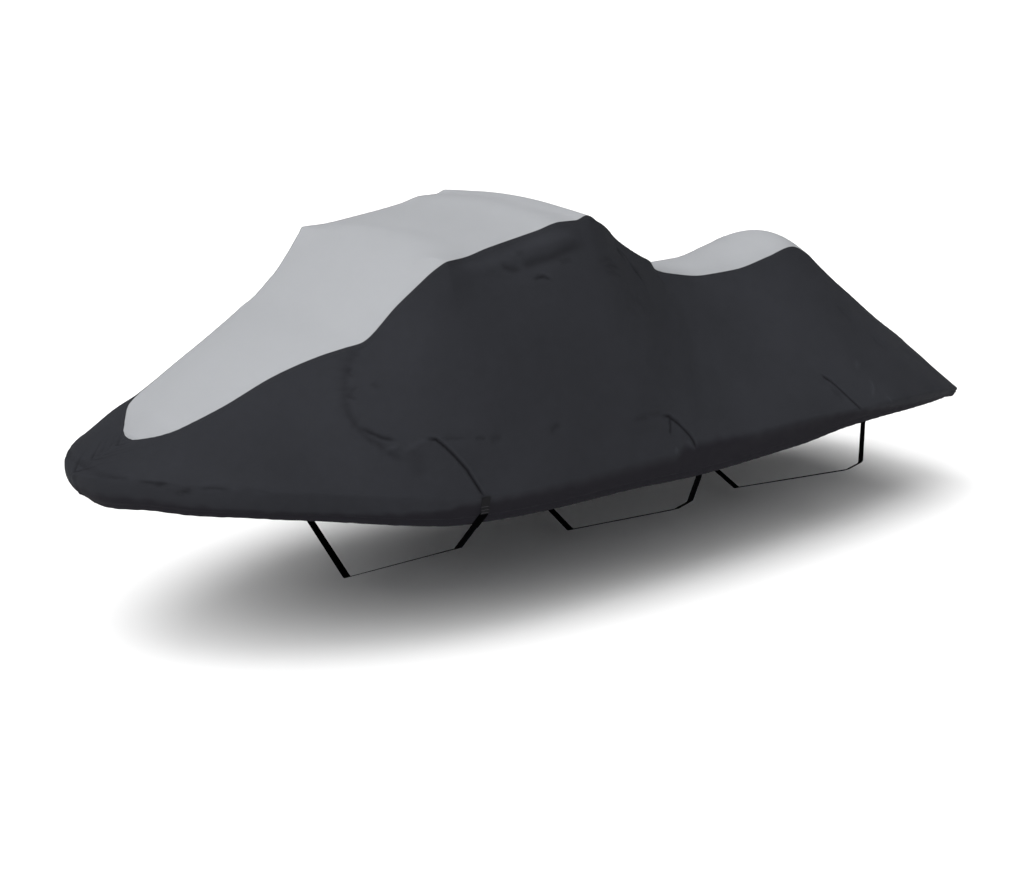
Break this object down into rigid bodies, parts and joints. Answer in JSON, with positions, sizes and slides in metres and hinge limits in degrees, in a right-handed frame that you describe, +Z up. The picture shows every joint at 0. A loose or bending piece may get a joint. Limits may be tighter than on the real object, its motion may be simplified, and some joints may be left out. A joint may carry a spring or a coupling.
{
  "type": "personal watercraft cover",
  "caption": "Fitted fabric cover for a sit-down personal watercraft, with a pale centre panel, dark side panels, an elastic hem and webbing straps under the hull.",
  "frame": {"origin": "on the underside of the cloth at the middle of the handlebars, where the craft carries the cover; the craft's keel would lie 1.158 m below", "axes": "+X towards the stern (the bow points to -X), +Y to starboard, +Z up"},
  "size_m": [3.1469, 1.2412, 1.1308],
  "materials": {
    "dark_cloth": "matt woven cloth, charcoal",
    "pale_cloth": "matt woven cloth, light grey",
    "webbing": "woven black webbing"
  },
  "bodies": {
    "root": {"port_side_panel": "dark_cloth", "starboard_side_panel": "dark_cloth", "centre_panel": "pale_cloth", "front_strap": "webbing", "middle_strap": "webbing", "rear_strap": "webbing"}
  },
  "joints": []
}
